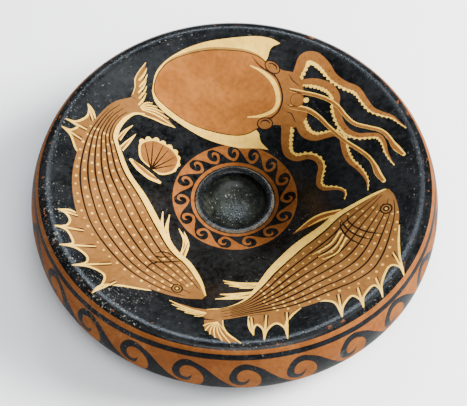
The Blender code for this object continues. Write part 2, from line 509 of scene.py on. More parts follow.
def wave_tree():
    """Waves along a line, one pitch apart, bent into a circle of that radius."""
    tree = bpy.data.node_groups.new("running_waves", "GeometryNodeTree")
    tree.interface.new_socket("Waves", in_out="OUTPUT", socket_type="NodeSocketGeometry")
    inputs = {"Wave": "Object", "Count": "Int", "Start Angle": "Float", "Axis Radius": "Float"}
    inputs |= {"Wave Height": "Float", "Uneven Spacing": "Float", "Paint": "Material"}
    ids = {name: node_input(tree, name, kind) for name, kind in inputs.items()}
    given = new_node(tree, "NodeGroupInput").outputs
    wave = new_node(tree, "GeometryNodeObjectInfo", {"Object": given["Wave"]}).outputs["Geometry"]
    size = joined(tree, X=1.0, Y=given["Wave Height"], Z=1.0)
    row = new_node(tree, "GeometryNodeMeshLine", {"Count": given["Count"], "Offset": (1, 0, 0)})
    links = {"Points": row.outputs[0], "Instance": wave, "Scale": size}
    placed = new_node(tree, "GeometryNodeInstanceOnPoints", links)
    plain = new_node(tree, "GeometryNodeRealizeInstances", {0: placed.outputs[0]})
    place = parts(tree, new_node(tree, "GeometryNodeInputPosition").outputs[0])
    step = maths(tree, "DIVIDE", 2 * pi, given["Count"])
    turn = maths(tree, "MULTIPLY_ADD", place["X"], step, given["Start Angle"])
    crowding = maths(tree, "COSINE", turn)
    angle = maths(tree, "MULTIPLY_ADD", crowding, given["Uneven Spacing"], turn)
    radius = maths(tree, "SUBTRACT", given["Axis Radius"], place["Y"])
    x = maths(tree, "MULTIPLY", radius, maths(tree, "COSINE", angle))
    y = maths(tree, "MULTIPLY", radius, maths(tree, "SINE", angle))
    links = {"Geometry": plain.outputs[0], "Position": joined(tree, X=x, Y=y)}
    circle = new_node(tree, "GeometryNodeSetPosition", links).outputs[0]
    links = {"Geometry": circle, "Material": given["Paint"]}
    painted = new_node(tree, "GeometryNodeSetMaterial", links)
    new_node(tree, "NodeGroupOutput", {0: painted.outputs[0]})
    return tree, ids


def evaluate(source, tree, values):
    """The plain mesh that a Geometry Nodes tree makes from an object."""
    modifier = source.modifiers.new(tree.name, "NODES")
    modifier.node_group = tree
    for identifier, value in values.items():
        modifier[identifier] = value
    bpy.context.view_layer.update()
    evaluated = source.evaluated_get(bpy.context.evaluated_depsgraph_get())
    mesh = bpy.data.meshes.new_from_object(evaluated)
    source.modifiers.remove(modifier)
    return mesh


def guide(name, points, edges, faces):
    """A hidden helper mesh that a tree reads."""
    mesh = bpy.data.meshes.new(name)
    mesh.from_pydata(points, edges, faces)
    piece = bpy.data.objects.new(name, mesh)
    piece.hide_render = True
    bpy.context.scene.collection.objects.link(piece)
    return piece


def paint_waves(paint, count, axis_radius, start, height=1.0, uneven=0.0):
    outline = list(smooth(WAVE_OUTER + WAVE_CURL, WAVE_STEP))
    outline += list(smooth(WAVE_INNER + WAVE_BACK, WAVE_STEP)) + WAVE_FOOT
    shape = [(x / WAVE_PITCH, y, 0) for x, y in outline]
    wave = guide("wave", shape, [], [range(len(shape))])
    circle = guide("wave_circle", [], [], [])
    tree, ids = wave_tree()
    values = {"Wave": wave, "Count": count, "Start Angle": start, "Axis Radius": axis_radius}
    values |= {"Wave Height": height, "Uneven Spacing": uneven, "Paint": MATERIALS[paint]}
    waves = evaluate(circle, tree, {ids[name]: value for name, value in values.items()})
    for face in waves.polygons:
        fill(paint, [waves.vertices[i].co.xy for i in face.vertices])
    bpy.data.objects.remove(wave)
    bpy.data.objects.remove(circle)


# The rim's border, brushed in black on the bare clay. From its lower edge up come the
# waves, a black line, a line of bare clay, and the black that covers the whole floor.
FOOT_BARE_WIDTH = 1.5
RIM_FOOT_LINE = 149.4
RIM_FOOT_SWAY = (0.4, 5)
RIM_WAVES = 23
RIM_WAVE_AXIS = 136.0
RIM_WAVE_START = radians(-86)
BAND_LINES = (("wave", 122.3, 1.5), ("clay", 118.3, 1.5), ("black", 115.0, 0.8))
ring("black", OUTLINE_PLAN[np.argmin(OUTLINE[:, 1])] - FOOT_BARE_WIDTH)
ring("clay", RIM_FOOT_LINE, *RIM_FOOT_SWAY)
paint_waves("wave", RIM_WAVES, RIM_WAVE_AXIS, RIM_WAVE_START)
for paint, radius, sway in BAND_LINES:
    ring(paint, radius, sway)

# Round the well: the same waves left in bare clay between two rings of clay, then the ridge,
# whose pale crest ring is partly worn glaze and partly a painted highlight, and inside it the
# bowl with its thinner, greenish glaze.
WELL_BORDER = (("clay", 36.8), ("black", 35.9))
# The pale ring at 23.3 mm is worn glaze and a painted highlight on the ridge's crest
WELL_EDGE = (("clay", 26.0), ("black", 24.0), ("crest_wear_and_highlight", 23.3), ("black", 22.3), ("bowl", 18.6))
WELL_WAVES = 15
WELL_WAVE_AXIS = 30.95
WELL_WAVE_START = radians(-75)
# How high they stand against the rim's waves, and how unevenly they are spaced
WELL_WAVE_LOOK = (0.34, 0.09)
for paint, radius in WELL_BORDER:
    ring(paint, radius)
paint_waves("clay", WELL_WAVES, WELL_WAVE_AXIS, WELL_WAVE_START, *WELL_WAVE_LOOK)
for paint, radius in WELL_EDGE:
    ring(paint, radius)

# Cuttlefish: the largest figure, laid on the black with an ochre wash. Its mantle has a
# cream fin down each side, its head two slit eyes, and its arms a cream row of suckers.
MANTLE = [(-50.6, 66), (-48.3, 78), (-40, 87.5), (-22, 94.6), (-3, 95.8), (10, 93.2), (18, 87)]
MANTLE += [(24.5, 76), (27, 66), (24.5, 57), (17, 50), (5, 43), (-10, 43.2), (-28, 47.7), (-44, 57.5)]
FIN_BEHIND = [(-51.6, 66), (-49, 79.5), (-38, 91.3), (-20, 100.2), (5, 104.6), (18, 103.8), (24.9, 100.3)]
FIN_BEHIND_NOTCH = [(24.9, 100.3), (19.5, 97.5), (17.4, 91), (10, 80)]
FIN_BEFORE = [(-51.6, 66), (-49, 58.5), (-40, 50.7), (-20, 40), (0, 35.2), (12, 34.8), (19.3, 33.5)]
FIN_BEFORE_NOTCH = [(19.3, 33.5), (14.8, 38.5), (13.3, 44), (5, 55)]
HEAD = [(17, 88), (21, 88), (26, 83.6), (32, 82), (37, 79), (39.5, 70), (39, 60), (42, 54), (36, 47)]
HEAD += [(27, 48.5), (21, 48.8), (15, 47), (10, 66)]
CRESCENT = [(7, 86.3), (14, 82.8), (20, 77.5), (23.4, 71), (24.3, 64), (22, 58.5), (15, 55), (6, 54)]
BROW = [(8, 92), (12, 87), (16, 83.8), (21, 80.5), (24.5, 76), (27, 66), (25, 58), (21, 54), (18, 53.3)]
UPPER_EYE = ((20.5, 85.3), (5.0, 3.1), radians(-38))
LOWER_EYE = ((16.8, 49.9), (4.4, 3.5), radians(-4))
MOUTH = (35.8, 64.2)
MOUTH_RADII = (("wash", 4.4), ("skin", 3.9))
PEARL = (41.2, 63.7)
PEARL_RADIUS = 1.7
CREASES = ([(30.5, 80.5), (33, 76.5), (37, 73)], [(30.5, 71.6), (34, 69.8), (39, 68)])
CREASES += ([(29, 57), (32.5, 55.5), (35, 50)], [(30, 61.5), (32, 60.5), (35.5, 60.2)])
CREASE_WIDTHS = [0.3, 0.7, 0.3]
CRESCENT_WIDTHS = [0.5, 1.8, 2.6, 2.8, 2.6, 2.2, 1.8, 0.5]
BROW_WIDTHS = [0.3, 0.9, 0.8, 0.9, 0.9, 0.7]
SHADE_WIDTHS = [0.6, 2.2, 3.0, 2.6, 0.8]
MANTLE_LINE = 0.55
ARMS = (
    ([(33, 74), (37, 83), (40, 90), (45.5, 90.6), (51.5, 85.5), (57, 77.5), (64, 71.8), (71, 68),
      (75.5, 61), (80, 54.5), (86, 50.8), (92, 48), (96.5, 43.5), (100, 40)],
     [6, 6.5, 7.6, 7.8, 7, 6, 5.2, 5, 4.6, 4.2, 3.4, 2.6, 1.4, 0.5], -1),
    ([(33, 74.5), (42, 75), (49, 73.8), (55, 70.5), (58.6, 65), (58.6, 59.5), (59.7, 53), (62, 46.5),
      (66, 41), (72, 37.7), (78, 37.2), (84, 36.2), (87.2, 31), (88.5, 25), (91, 19), (93, 15.7)],
     [3, 4.4, 5.6, 6, 5.6, 5, 5, 4.8, 4.4, 4, 3.8, 3.4, 3, 2.4, 1.4, 0.4], -1),
    ([(29, 56), (30, 46), (29.8, 38), (31, 30.8), (36, 27.2), (42.5, 27.8), (48, 25.4), (50.8, 20),
      (49.8, 13), (49.6, 8), (52.5, 4.8), (58, 4.2), (62.6, 2.6), (64.8, 0), (64, -4)],
     [7, 7, 6.6, 6, 5.2, 4.4, 4.2, 4, 4, 4, 3.6, 3.2, 2.4, 1.4, 0.5], 1),
    ([(36, 60), (38.2, 49), (41.5, 42.5), (47, 39.7), (53, 40.4), (58.5, 41), (62.8, 37.8), (64, 32),
      (65.3, 26.5), (68, 21), (72, 16.5), (75.3, 11.5), (77.4, 6.5), (77.6, 0.5)],
     [5, 6, 6.4, 6, 4.8, 4.2, 4.2, 4, 4, 3.8, 3.2, 2.6, 1.6, 0.4], 1),
)
TENTACLES = (
    ([(31, 70.8), (39, 68.8), (47, 66.5), (54, 63.3), (60, 58.5), (64.5, 52), (70, 46.2), (78, 42.8),
      (85, 40), (89.5, 35.5), (93, 29), (96, 25), (98.5, 22)],
     [2.2, 2.4, 2.4, 2.4, 2.4, 2.4, 2.4, 2.4, 2.4, 2.4, 2.6, 4.2, 2.4]),
    ([(31, 60), (37, 59), (43, 57), (49, 52.3), (54, 46.5), (60, 40), (66, 34), (72, 29), (78, 23),
      (81.5, 17), (83.6, 11), (86.8, 5.4)],
     [2.4, 3.4, 3, 2.6, 2.4, 2.4, 2.4, 2.4, 2.4, 2.4, 4, 2.6]),
)
SUCKER_GAP = 2.7


def even(path, count, step=1.0):
    """The smooth curve through the points, as that many evenly spaced points."""
    line = smooth(path, step)
    walked = np.concatenate([[0], np.cumsum(np.hypot(*np.diff(line, axis=0).T))])
    places = np.linspace(0, walked[-1], count)
    return np.stack([np.interp(places, walked, line[:, 0]), np.interp(places, walked, line[:, 1])], 1)


def beside(path, offsets, count):
    """The curve shifted to its left by the offsets, spread along it."""
    line = even(path, count)
    way = np.gradient(line, axis=0)
    way /= np.hypot(*way.T)[:, None]
    return line + np.stack([-way[:, 1], way[:, 0]], 1) * spread(offsets, count)[:, None]


def path_length(path):
    return np.hypot(*np.diff(smooth(path), axis=0).T).sum()


def oval(centre, radii, tilt, count=20):
    turns = np.arange(count) * 2 * pi / count
    x, y = radii[0] * np.cos(turns), radii[1] * np.sin(turns)
    return np.stack([x * cos(tilt) - y * sin(tilt), x * sin(tilt) + y * cos(tilt)], 1) + centre


def paint_slit_eye(centre, radii, tilt):
    fill("line", oval(centre, np.array(radii) + 0.5, tilt))
    fill("skin", oval(centre, np.array(radii) - 0.2, tilt))
    slit = oval(centre, np.array(radii) * 0.62, tilt, 12)
    stroke("line", slit[:7], [0.4, 1.0, 0.4])


def paint_arm(path, widths, side):
    widths = np.array(widths)
    stroke("skin", path, widths)
    count = int(path_length(path) / SUCKER_GAP)
    edge = beside(path, side * widths * 0.46, count)
    stroke("cream", beside(path, side * widths * 0.40, count), [0.9, 0.9, 0.8, 0.4])
    for place, size in list(zip(edge, spread(widths, count)))[2:]:
        dot("cream", place, 0.4 + 0.14 * size * hand.uniform(0.8, 1.2))
    freckles = beside(path, -side * widths * 0.12, count // 3)
    for place in freckles[2:-2]:
        dot("wash", place + hand.uniform(-0.5, 0.5, 2), hand.uniform(0.3, 0.55), 6)


def paint_tentacle(path, widths):
    widths = np.array(widths)
    stroke("cream", path, widths)
    count = len(path) * 3
    dot("cream", path[-1], widths[-1] * 0.5, 10)
    stroke("skin", beside(path, -0.12 * widths, count), widths * 0.66)


def paint_cuttlefish():
    for edge, notch in ((FIN_BEHIND, FIN_BEHIND_NOTCH), (FIN_BEFORE, FIN_BEFORE_NOTCH)):
        fill("cream", list(smooth(edge)) + list(smooth(notch[:-1])) + [notch[-1]])
    for path, widths, side in ARMS:
        paint_arm(path, widths, side)
    fill("skin", smooth(HEAD, closed=True))
    stroke("amber", MANTLE[1:7], SHADE_WIDTHS)
    edge = smooth(MANTLE, closed=True)
    fill("line", edge)
    away = edge - np.mean(MANTLE, 0)
    fill("mantle", edge - away / np.hypot(*away.T)[:, None] * MANTLE_LINE)
    stroke("cream", CRESCENT, CRESCENT_WIDTHS)
    stroke("line", BROW, BROW_WIDTHS)
    paint_slit_eye(*UPPER_EYE)
    paint_slit_eye(*LOWER_EYE)
    for path, widths in TENTACLES:
        paint_tentacle(path, widths)
    for paint, radius in MOUTH_RADII:
        fill(paint, oval(MOUTH, (radius, radius), 0))
    dot("cream", PEARL, PEARL_RADIUS, 10)
    for crease in CREASES:
        stroke("line", crease, CREASE_WIDTHS)


# Scallop shell: a small ribbed fan in ochre with a cream, waved edge and a hinge bar.
SHELL = [(-57.6, 24), (-57.2, 31.5), (-50, 35), (-43, 33.2), (-37, 29.8), (-33.4, 23.8), (-36, 16.2)]
SHELL += [(-42, 12.7), (-46.5, 12.8), (-52, 16.5), (-56, 20)]
SHELL_HINGE = (-50.2, 14.8)
SHELL_RIBS = [(-54.5, 32), (-49.6, 34), (-43.3, 32.4), (-40.3, 29.4), (-36.6, 25.2), (-36, 20.5)]
SHELL_SCALLOPS = [(-56, 32.3), (-52.4, 34.4), (-47.8, 34.6), (-43.8, 33.2), (-39.8, 31.2), (-36.4, 28.6)]
SHELL_SCALLOPS += [(-34.8, 25), (-34.8, 21), (-37, 17.4)]
SCALLOP_RADIUS = 1.8
SHELL_INSIDE = 0.9
RIB_WIDTHS = [0.9, 0.7, 0.3]
HINGE_BAR = [(-62.8, 19.6), (-57, 14.6), (-50.5, 10), (-44, 6.6)]
HINGE_INSIDE = [(-60.5, 18.6), (-56.5, 15.2), (-50.8, 11), (-46, 8.6)]
HINGE_LINE = [(-57.2, 20.4), (-51.5, 15.6), (-46, 12.4)]


def paint_shell():
    edge = smooth(SHELL, closed=True)
    fill("cream", edge)
    for place in SHELL_SCALLOPS:
        dot("cream", place, SCALLOP_RADIUS, 12)
    middle = np.mean(SHELL, 0)
    fill("skin", middle + (edge - middle) * SHELL_INSIDE)
    for end in SHELL_RIBS:
        stroke("line", [SHELL_HINGE, end], RIB_WIDTHS)
    stroke("cream", HINGE_BAR, [1.5, 4.4, 4.4, 1.5])
    stroke("skin", HINGE_INSIDE, [0.8, 2.2, 2.2, 1])
    stroke("line", HINGE_LINE, [0.6, 1.4, 0.8])


# Two sea bream: ochre bodies with a cream belly, dark lengthwise stripes with rows of cream
# dots between them, and spiny fins drawn as webs of ochre edged in cream.
DOT_GAP = 5.6
DOT_RADIUS = 0.78
DOT_ROOM = 2.5
FIN_EDGE_WIDTHS = [0.5, 1.2, 1.3, 1.2, 0.5]
SPINE_WIDTHS = [0.5, 1.2, 0.6]
STRIPE_WIDTHS = [0.4, 0.95, 1.15, 0.9, 1.1, 0.9, 0.4]
BODY_POINTS = 90
COARSE_STEP = 2.0
SCALLOP_LEAN = 0.34
SCALLOP_PULL = 0.22
EYE_RINGS = ((1.0, "line"), (0.74, "ochre"), (0.5, "line"), (0.22, "dots"))


def scallop(tip, notch, following, root, next_root):
    """The round bite between two spines: it leaves each tip along its own spine."""
    tip, notch, following = np.array(tip), np.array(notch), np.array(following)
    entry = tip + (np.array(root) - tip) * SCALLOP_LEAN
    leave = following + (np.array(next_root) - following) * SCALLOP_LEAN
    entry += (notch - entry) * SCALLOP_PULL
    leave += (notch - leave) * SCALLOP_PULL
    return smooth([tip, entry, notch, leave, following])


def paint_spiny_fin(leading, tips, notches, trailing, roots):
    edges = [smooth(leading + tips[:1])]
    for i, notch in enumerate(notches):
        edges.append(scallop(tips[i], notch, tips[i + 1], roots[i], roots[i + 1]))
    edges.append(smooth(tips[-1:] + trailing))
    fill("ochre", np.concatenate(edges))
    for edge in edges:
        stroke("cream", edge, FIN_EDGE_WIDTHS, COARSE_STEP)
    for root, tip in zip(roots, tips):
        root, way = np.array(root), np.array(tip) - np.array(root)
        side = np.array([-way[1], way[0]]) / np.hypot(*way)
        stroke("cream", [root, root + way * 0.6, root + way], SPINE_WIDTHS)
        for shift, reach in ((1.0, 0.5), (-1.1, 0.3)):
            stroke("line", [root + side * shift, root + side * shift + way * reach], [0.8, 0.3])


def paint_strands(root, tips, width, bend):
    """A small fin or a fringe: tapering cream strands with a thread of ochre."""
    root = np.array(root, float)
    for tip in np.array(tips, float):
        way = tip - root
        middle = root + way * 0.55 + np.array([-way[1], way[0]]) * bend
        stroke("cream", [root, middle, tip], [width, width * 0.7, 0.4])
        stroke("ochre", [root, root + (middle - root) * 1.1], [width * 0.5, 0.3])


def paint_body(back, belly, strip, stripes, dots_from, dots_to):
    """A cream belly strip and an ochre back with stripes, and dots along part of it."""
    count = BODY_POINTS
    upper, lower = even(back, count), even(belly, count)
    gap = upper - lower
    breadth = np.hypot(*gap.T)
    share = spread(strip, count) / breadth
    inner = lower + gap * np.minimum(share, 0.6)[:, None]
    fill("cream", np.concatenate([upper, lower[::-1]]))
    fill("ochre", np.concatenate([upper, inner[::-1]]))
    stroke("amber", inner[4:-3:4], [0.4, 1.2, 1.2, 0.4], COARSE_STEP)
    row_gap = breadth / stripes
    for row in range(stripes):
        middle = upper + (inner - upper) * ((row + 0.5) / stripes)
        first = int((dots_from + hand.uniform(0.0, 0.07)) * count)
        last = int((dots_to - hand.uniform(0.0, 0.06)) * count)
        spots = int(path_length(middle[first:last:4]) / DOT_GAP)
        room = np.interp(np.linspace(first, last, spots), np.arange(count), row_gap)
        for place, wide in zip(even(middle[first:last:4], spots), room):
            drift = hand.uniform(-0.5, 0.5, 2)
            if wide > DOT_ROOM:
                dot("dots", place + drift, DOT_RADIUS * hand.uniform(0.75, 1.2))
    for row in range(1, stripes + 1):
        line = upper + (inner - upper) * (row / stripes)
        first, last = 5 + 3 * (row % 2), count - 3 - 2 * (row % 3)
        stroke("line", line[first:last:4], STRIPE_WIDTHS, COARSE_STEP)


def paint_round_eye(centre, radius):
    for share, paint in EYE_RINGS:
        fill(paint, oval(centre, (radius * share, radius * share), 0, 16))


LEFT_BACK = [(-63, 60.5), (-75, 54.5), (-85, 41), (-91.5, 27), (-95.3, 5), (-93.5, -15), (-87, -34)]
LEFT_BACK += [(-74, -52), (-60, -65), (-45, -73), (-30, -77), (-17, -77.3)]
LEFT_BELLY = [(-55, 50.2), (-62, 48.5), (-68, 41), (-70.5, 32), (-68, 24), (-62, 10), (-51.5, -5)]
LEFT_BELLY += [(-41, -25), (-33, -40), (-24, -50), (-17.5, -63), (-14.8, -74)]
LEFT_STRIP = [1.0, 3.2, 3.0, 3.6, 4.2, 4.4, 4.2, 3.8, 3.4, 1.0]
LEFT_PATTERN = (7, 0.14, 0.95)
LEFT_REAR_FIN = {
    "leading": [(-93, 18), (-94.8, 21), (-98, 29)],
    "tips": [(-103.5, 33.8), (-101.5, 39.3), (-89, 51.5)],
    "notches": [(-94, 35.5), (-89.6, 42.5)],
    "trailing": [(-86, 47.5), (-84, 42)],
    "roots": [(-91, 27), (-88, 34), (-85.5, 41)],
}
LEFT_FRONT_FIN = {
    "leading": [(-90.5, -25), (-95, -23)],
    "tips": [(-102, -23.7), (-103, -35.5), (-99.5, -48.5), (-91.5, -62), (-79, -80)],
    "notches": [(-94.6, -30), (-92.6, -43), (-83.6, -54), (-73, -66)],
    "trailing": [(-74.5, -74.2), (-65, -72.4), (-46, -73.7)],
    "roots": [(-90, -26), (-86.5, -36), (-78.5, -46), (-69.5, -57), (-66, -70)],
}
LEFT_TAIL_UPPER = [(-64, 61), (-61.5, 66), (-62, 72), (-60, 77), (-56, 83.5), (-56.5, 76)]
LEFT_TAIL_UPPER += [(-58, 68), (-57, 57)]
LEFT_TAIL_LOWER = [(-64, 60), (-57, 58.3), (-50, 56.6), (-44, 52), (-37, 44.5), (-44, 46)]
LEFT_TAIL_LOWER += [(-50, 48), (-58, 50)]
LEFT_TAIL_BARBS = ((-55.3, 80), (-54.8, 76), (-55.3, 72), (-54.8, 68.5), (-55, 64))
LEFT_TAIL_BACK = [(-63, 62), (-61.8, 67), (-62, 72), (-60, 77), (-56, 83.5)]
LEFT_TAIL_RAYS = ((-51, 58.2), (-48, 56), (-44, 53), (-41, 49.5), (-36.8, 44.3))
LEFT_TAIL_FRONT = [(-58, 50), (-50, 48.2), (-44, 46.1), (-37, 44.4)]
LEFT_SMALL_FINS = (
    ((-70, 31.5), [(-62, 42)], 3.0, 0.05),
    ((-68.3, 25), [(-60, 36.5)], 3.6, 0.0),
    ((-35.5, -44), [(-42, -13), (-38, -14.5)], 4.0, 0.08),
    ((-29.5, -46), [(-32.2, -24), (-29, -26)], 3.4, -0.12),
)
LEFT_GILL = (
    [(-45, -45), (-42, -43.6), (-38, -43.6), (-33, -47)],
    [(-48, -50.5), (-43, -51.4), (-36, -50.3), (-29, -48.6)],
    [(-49.5, -57.5), (-47.5, -54), (-44, -52), (-40.5, -51)],
    [(-46, -46.5), (-42, -47.6), (-36, -46.4)],
)
LEFT_EYE = ((-31.5, -70.3), 3.5)


def paint_left_fish():
    paint_spiny_fin(**LEFT_REAR_FIN)
    paint_spiny_fin(**LEFT_FRONT_FIN)
    fill("ochre", LEFT_TAIL_UPPER)
    fill("ochre", LEFT_TAIL_LOWER)
    for x, y in LEFT_TAIL_BARBS:
        stroke("cream", [(x - 4.4, y - 8.5), (x - 1.6, y - 4.4), (x, y)], [1.0, 1.3, 0.4])
    stroke("cream", LEFT_TAIL_BACK, [0.4, 0.6, 0.7, 0.6])
    for tip in LEFT_TAIL_RAYS:
        stroke("cream", [(-59, 53.5), (np.array(tip) + (-59, 57)) / 2, tip], [0.5, 1.0, 0.4])
    stroke("cream", LEFT_TAIL_FRONT, [0.5, 1.0, 1.0, 0.4])
    for small_fin in LEFT_SMALL_FINS:
        paint_strands(*small_fin)
    paint_body(LEFT_BACK, LEFT_BELLY, LEFT_STRIP, *LEFT_PATTERN)
    for line in LEFT_GILL:
        stroke("line", line, [0.4, 1.0, 1.0, 0.4])
    paint_round_eye(*LEFT_EYE)


RIGHT_BACK = [(-15, -92), (-5, -92.2), (10, -88.5), (30, -85), (44, -81), (60, -74), (72, -69.5)]
RIGHT_BACK += [(84, -61), (90.5, -48), (93.5, -35), (95.3, -20), (93.3, -7), (90, -1)]
RIGHT_BELLY = [(-14, -84.7), (-3, -82.6), (8, -75), (15, -62.5), (22, -50), (35, -34), (50, -22)]
RIGHT_BELLY += [(58, -14.8), (70, -8), (80, -3), (87, -0.4)]
RIGHT_STRIP = [0.4, 0.6, 2.0, 4.6, 5.6, 6.2, 6.0, 4.6, 3.4, 2.6, 1.6]
RIGHT_PATTERN = (8, 0.2, 0.95)
RIGHT_FRONT_FIN = {
    "leading": [(95.2, -27), (94.6, -40), (95.2, -52)],
    "tips": [(97.6, -62), (85, -77), (74, -84.5), (62, -91)],
    "notches": [(88.6, -56.5), (79, -69.5), (67, -76)],
    "trailing": [(58.5, -81), (53, -78.3), (46, -79)],
    "roots": [(91, -46), (80, -60), (70.5, -68), (60, -74)],
}
RIGHT_REAR_FIN = {
    "leading": [(39, -83), (33.5, -89), (30.4, -96)],
    "tips": [(31.5, -106), (18.5, -107), (12.5, -103.5)],
    "notches": [(25, -94.5), (14.5, -95.5)],
    "trailing": [(10, -97), (9.5, -89)],
    "roots": [(31, -86), (19.5, -88), (11, -90)],
}
RIGHT_TAIL_EDGE = [(-12, -84.8), (-20, -84.5), (-27, -82.5), (-35, -80)]
RIGHT_TAIL_POINTS = [(-27, -86.5), (-20, -89.5), (-13, -92)]
RIGHT_TAIL_RAYS = ((-35.5, -79.8), (-34, -82.6), (-31, -85.4), (-26.5, -88), (-21, -90.4))
RIGHT_TAIL_LOWER = [(-5, -92), (-4.5, -97), (-2, -103), (5, -109), (-3, -109), (-10, -105)]
RIGHT_TAIL_LOWER += [(-15, -99.5), (-15.4, -93)]
RIGHT_TAIL_TIPS = [(-15.8, -97.5), (-14.5, -101), (-12, -103.6), (-9, -106), (-5, -108)]
RIGHT_TAIL_TIPS += [(-0.5, -109.6), (5.5, -109.6)]
RIGHT_TAIL_FRONT = [(-5, -92.6), (-4.6, -97), (-2, -103), (2, -106.6), (5.5, -109.6)]
RIGHT_SMALL_FINS = (
    ((17, -64.5), [(-5.5, -62), (-4.6, -63.8), (-2, -66), (4, -67.6)], 3.0, 0.04),
    ((16, -71.5), [(-7, -72.8), (-9.6, -76.6), (-4, -74.8)], 4.4, 0.02),
)
BELLY_FIN = [(63, -13.5), (52, -15.4), (43, -20), (34.4, -25.8)]
BELLY_FIN_EDGE = [(62, -11.6), (51, -13.2), (43.5, -17.2), (36, -24.4)]
BELLY_FIN_MIDDLE = [(58, -15), (50, -17.6), (43, -21.4)]
RIGHT_GILL = (
    [(61.8, -19.5), (62, -25), (65.5, -31.5), (70, -36), (75.5, -39.8)],
    [(62, -19), (65.5, -26), (72, -32), (80, -35.6)],
    [(66, -16), (66, -20), (70, -25), (77, -29.6), (85, -32)],
)
CHEST_FIN_SHIFTS = (0, 3.4, 6.6)
RIGHT_EYE = ((88, -14.5), 3.8)


def paint_right_fish():
    paint_spiny_fin(**RIGHT_FRONT_FIN)
    paint_spiny_fin(**RIGHT_REAR_FIN)
    fill("ochre", list(smooth(RIGHT_TAIL_EDGE)) + RIGHT_TAIL_POINTS)
    fill("ochre", RIGHT_TAIL_LOWER)
    for x, y in RIGHT_TAIL_RAYS:
        stroke("cream", [(-14, -87.5), ((-14 + x) / 2, (-90.0 + y) / 2), (x, y)], [0.3, 0.7, 0.5])
    for x, y in RIGHT_TAIL_TIPS:
        stroke("cream", [(-8, -94), ((-10.5 + x) / 2, (-94 + y) / 2), (x, y)], [0.3, 0.7, 0.7])
    stroke("cream", RIGHT_TAIL_FRONT, [0.5, 0.9, 0.4])
    for small_fin in RIGHT_SMALL_FINS:
        paint_strands(*small_fin)
    stroke("clay", BELLY_FIN, [4.5, 5.2, 3.8, 0.5])
    stroke("cream", BELLY_FIN_EDGE, [0.8, 1.2, 0.9, 0.3])
    stroke("cream", BELLY_FIN_MIDDLE, [0.9, 1.0, 0.3])
    paint_body(RIGHT_BACK, RIGHT_BELLY, RIGHT_STRIP, *RIGHT_PATTERN)
    for line in RIGHT_GILL:
        stroke("line", line, [0.4, 1.0, 1.0, 1.0, 0.4])
    for shift in CHEST_FIN_SHIFTS:
        path = [(61.5 + shift * 0.55, -27 - shift * 0.8), (56 + shift * 0.6, -36 - shift)]
        path.append((45.5 + shift, -43 - shift * 0.6))
        stroke("cream", path, [1.1, 1.0, 0.4])
        stroke("line", [(x - 1.0, y + 1.0) for x, y in path], [0.4, 0.6, 0.4])
    paint_round_eye(*RIGHT_EYE)


paint_cuttlefish()
paint_shell()
paint_left_fish()
paint_right_fish()

# The finished plate: the plan is cut along every painted edge, each patch takes the
# paint that lies on top there, and the sheet is wrapped on the turned outline.
RING_GAP = 3.2
RIM_RING_SIDES = 240
SHEET_JOIN = 0.004
CLOSING_GAP = 1e-7
UNPAINTED = "clay"
NORMAL_STEP = 0.1
SHOULDER_EASE = 5.0
TOP_SHARE = 0.41
EDGE_SHARE = 0.495


def plan_to_sheet(points):
    """From the plan's radius to the length walked along the outline, in millimetres."""
    points = np.asarray(points, float)
    radius = np.hypot(points[:, 0], points[:, 1])
    length = np.interp(radius, OUTLINE_PLAN, OUTLINE_LENGTH)
    return points * (length / np.maximum(radius, 1e-9))[:, None]


def split_long_edges(points):
    """A straight edge needs points along it, since the floor under it is curved."""
    points = np.asarray(points, float)
    ahead = np.roll(points, -1, 0) - points
    counts = np.maximum(np.ceil(np.hypot(*ahead.T) / RING_GAP), 1).astype(int)
    rows = zip(points, ahead, counts)
    return np.concatenate([p + step * np.arange(n)[:, None] / n for p, step, n in rows])


def guide_points():
    """Vertices on circles that follow the outline's bends, with none over RING_GAP apart."""
    rings = [0.0]
    for length in OUTLINE_LENGTH[1:]:
        steps = int(np.ceil((length - rings[-1]) / RING_GAP))
        rings += list(np.linspace(rings[-1], length, steps + 1)[1:])
    points = [(0.0, 0.0)]
    for index, length in enumerate(rings[1:]):
        radius = np.interp(length, OUTLINE_LENGTH, OUTLINE[:, 0])
        sides = int(np.clip(2 * pi * radius / RING_GAP, 24, RIM_RING_SIDES))
        turns = (np.arange(sides) + index % 2 / 2) * 2 * pi / sides
        points += list(length * round_points(turns))
    return points


def inside(points, outline):
    """Which points the outline winds round."""
    x, y = points.T
    winding = np.zeros(len(points), int)
    for (x0, y0), (x1, y1) in zip(outline, np.roll(outline, -1, 0)):
        side = (x1 - x0) * (y - y0) - (x - x0) * (y1 - y0)
        winding += (y0 <= y) & (y1 > y) & (side > 0)
        winding -= (y0 > y) & (y1 <= y) & (side < 0)
    return winding != 0


def cut_sheet():
    """The flat sheet cut along every painted edge, and the paint on each of its faces."""
    outlines = [plan_to_sheet(split_long_edges(points)) for _, points in paint_layers]
    points = guide_points()
    edges = []
    for outline in outlines:
        first = len(points)
        points += list(outline)
        edges += [(first + i, first + (i + 1) % len(outline)) for i in range(len(outline))]
    cut = delaunay_2d_cdt([Vector(p) for p in points], edges, [], 0, SHEET_JOIN, False)
    corners = np.array([p[:] for p in cut[0]])
    faces = np.array(cut[2])
    centres = corners[faces].mean(1)
    order = np.argsort(centres[:, 0])
    sorted_x = centres[order, 0]
    paint = np.full(len(faces), list(PAINTS).index(UNPAINTED))
    for (name, _), outline in zip(paint_layers, outlines):
        low, high = outline.min(0), outline.max(0)
        first, last = np.searchsorted(sorted_x, (low[0], high[0]))
        near = order[first:last]
        near = near[(centres[near, 1] >= low[1]) & (centres[near, 1] <= high[1])]
        paint[near[inside(centres[near], outline)]] = list(PAINTS).index(name)
    return corners, faces, paint


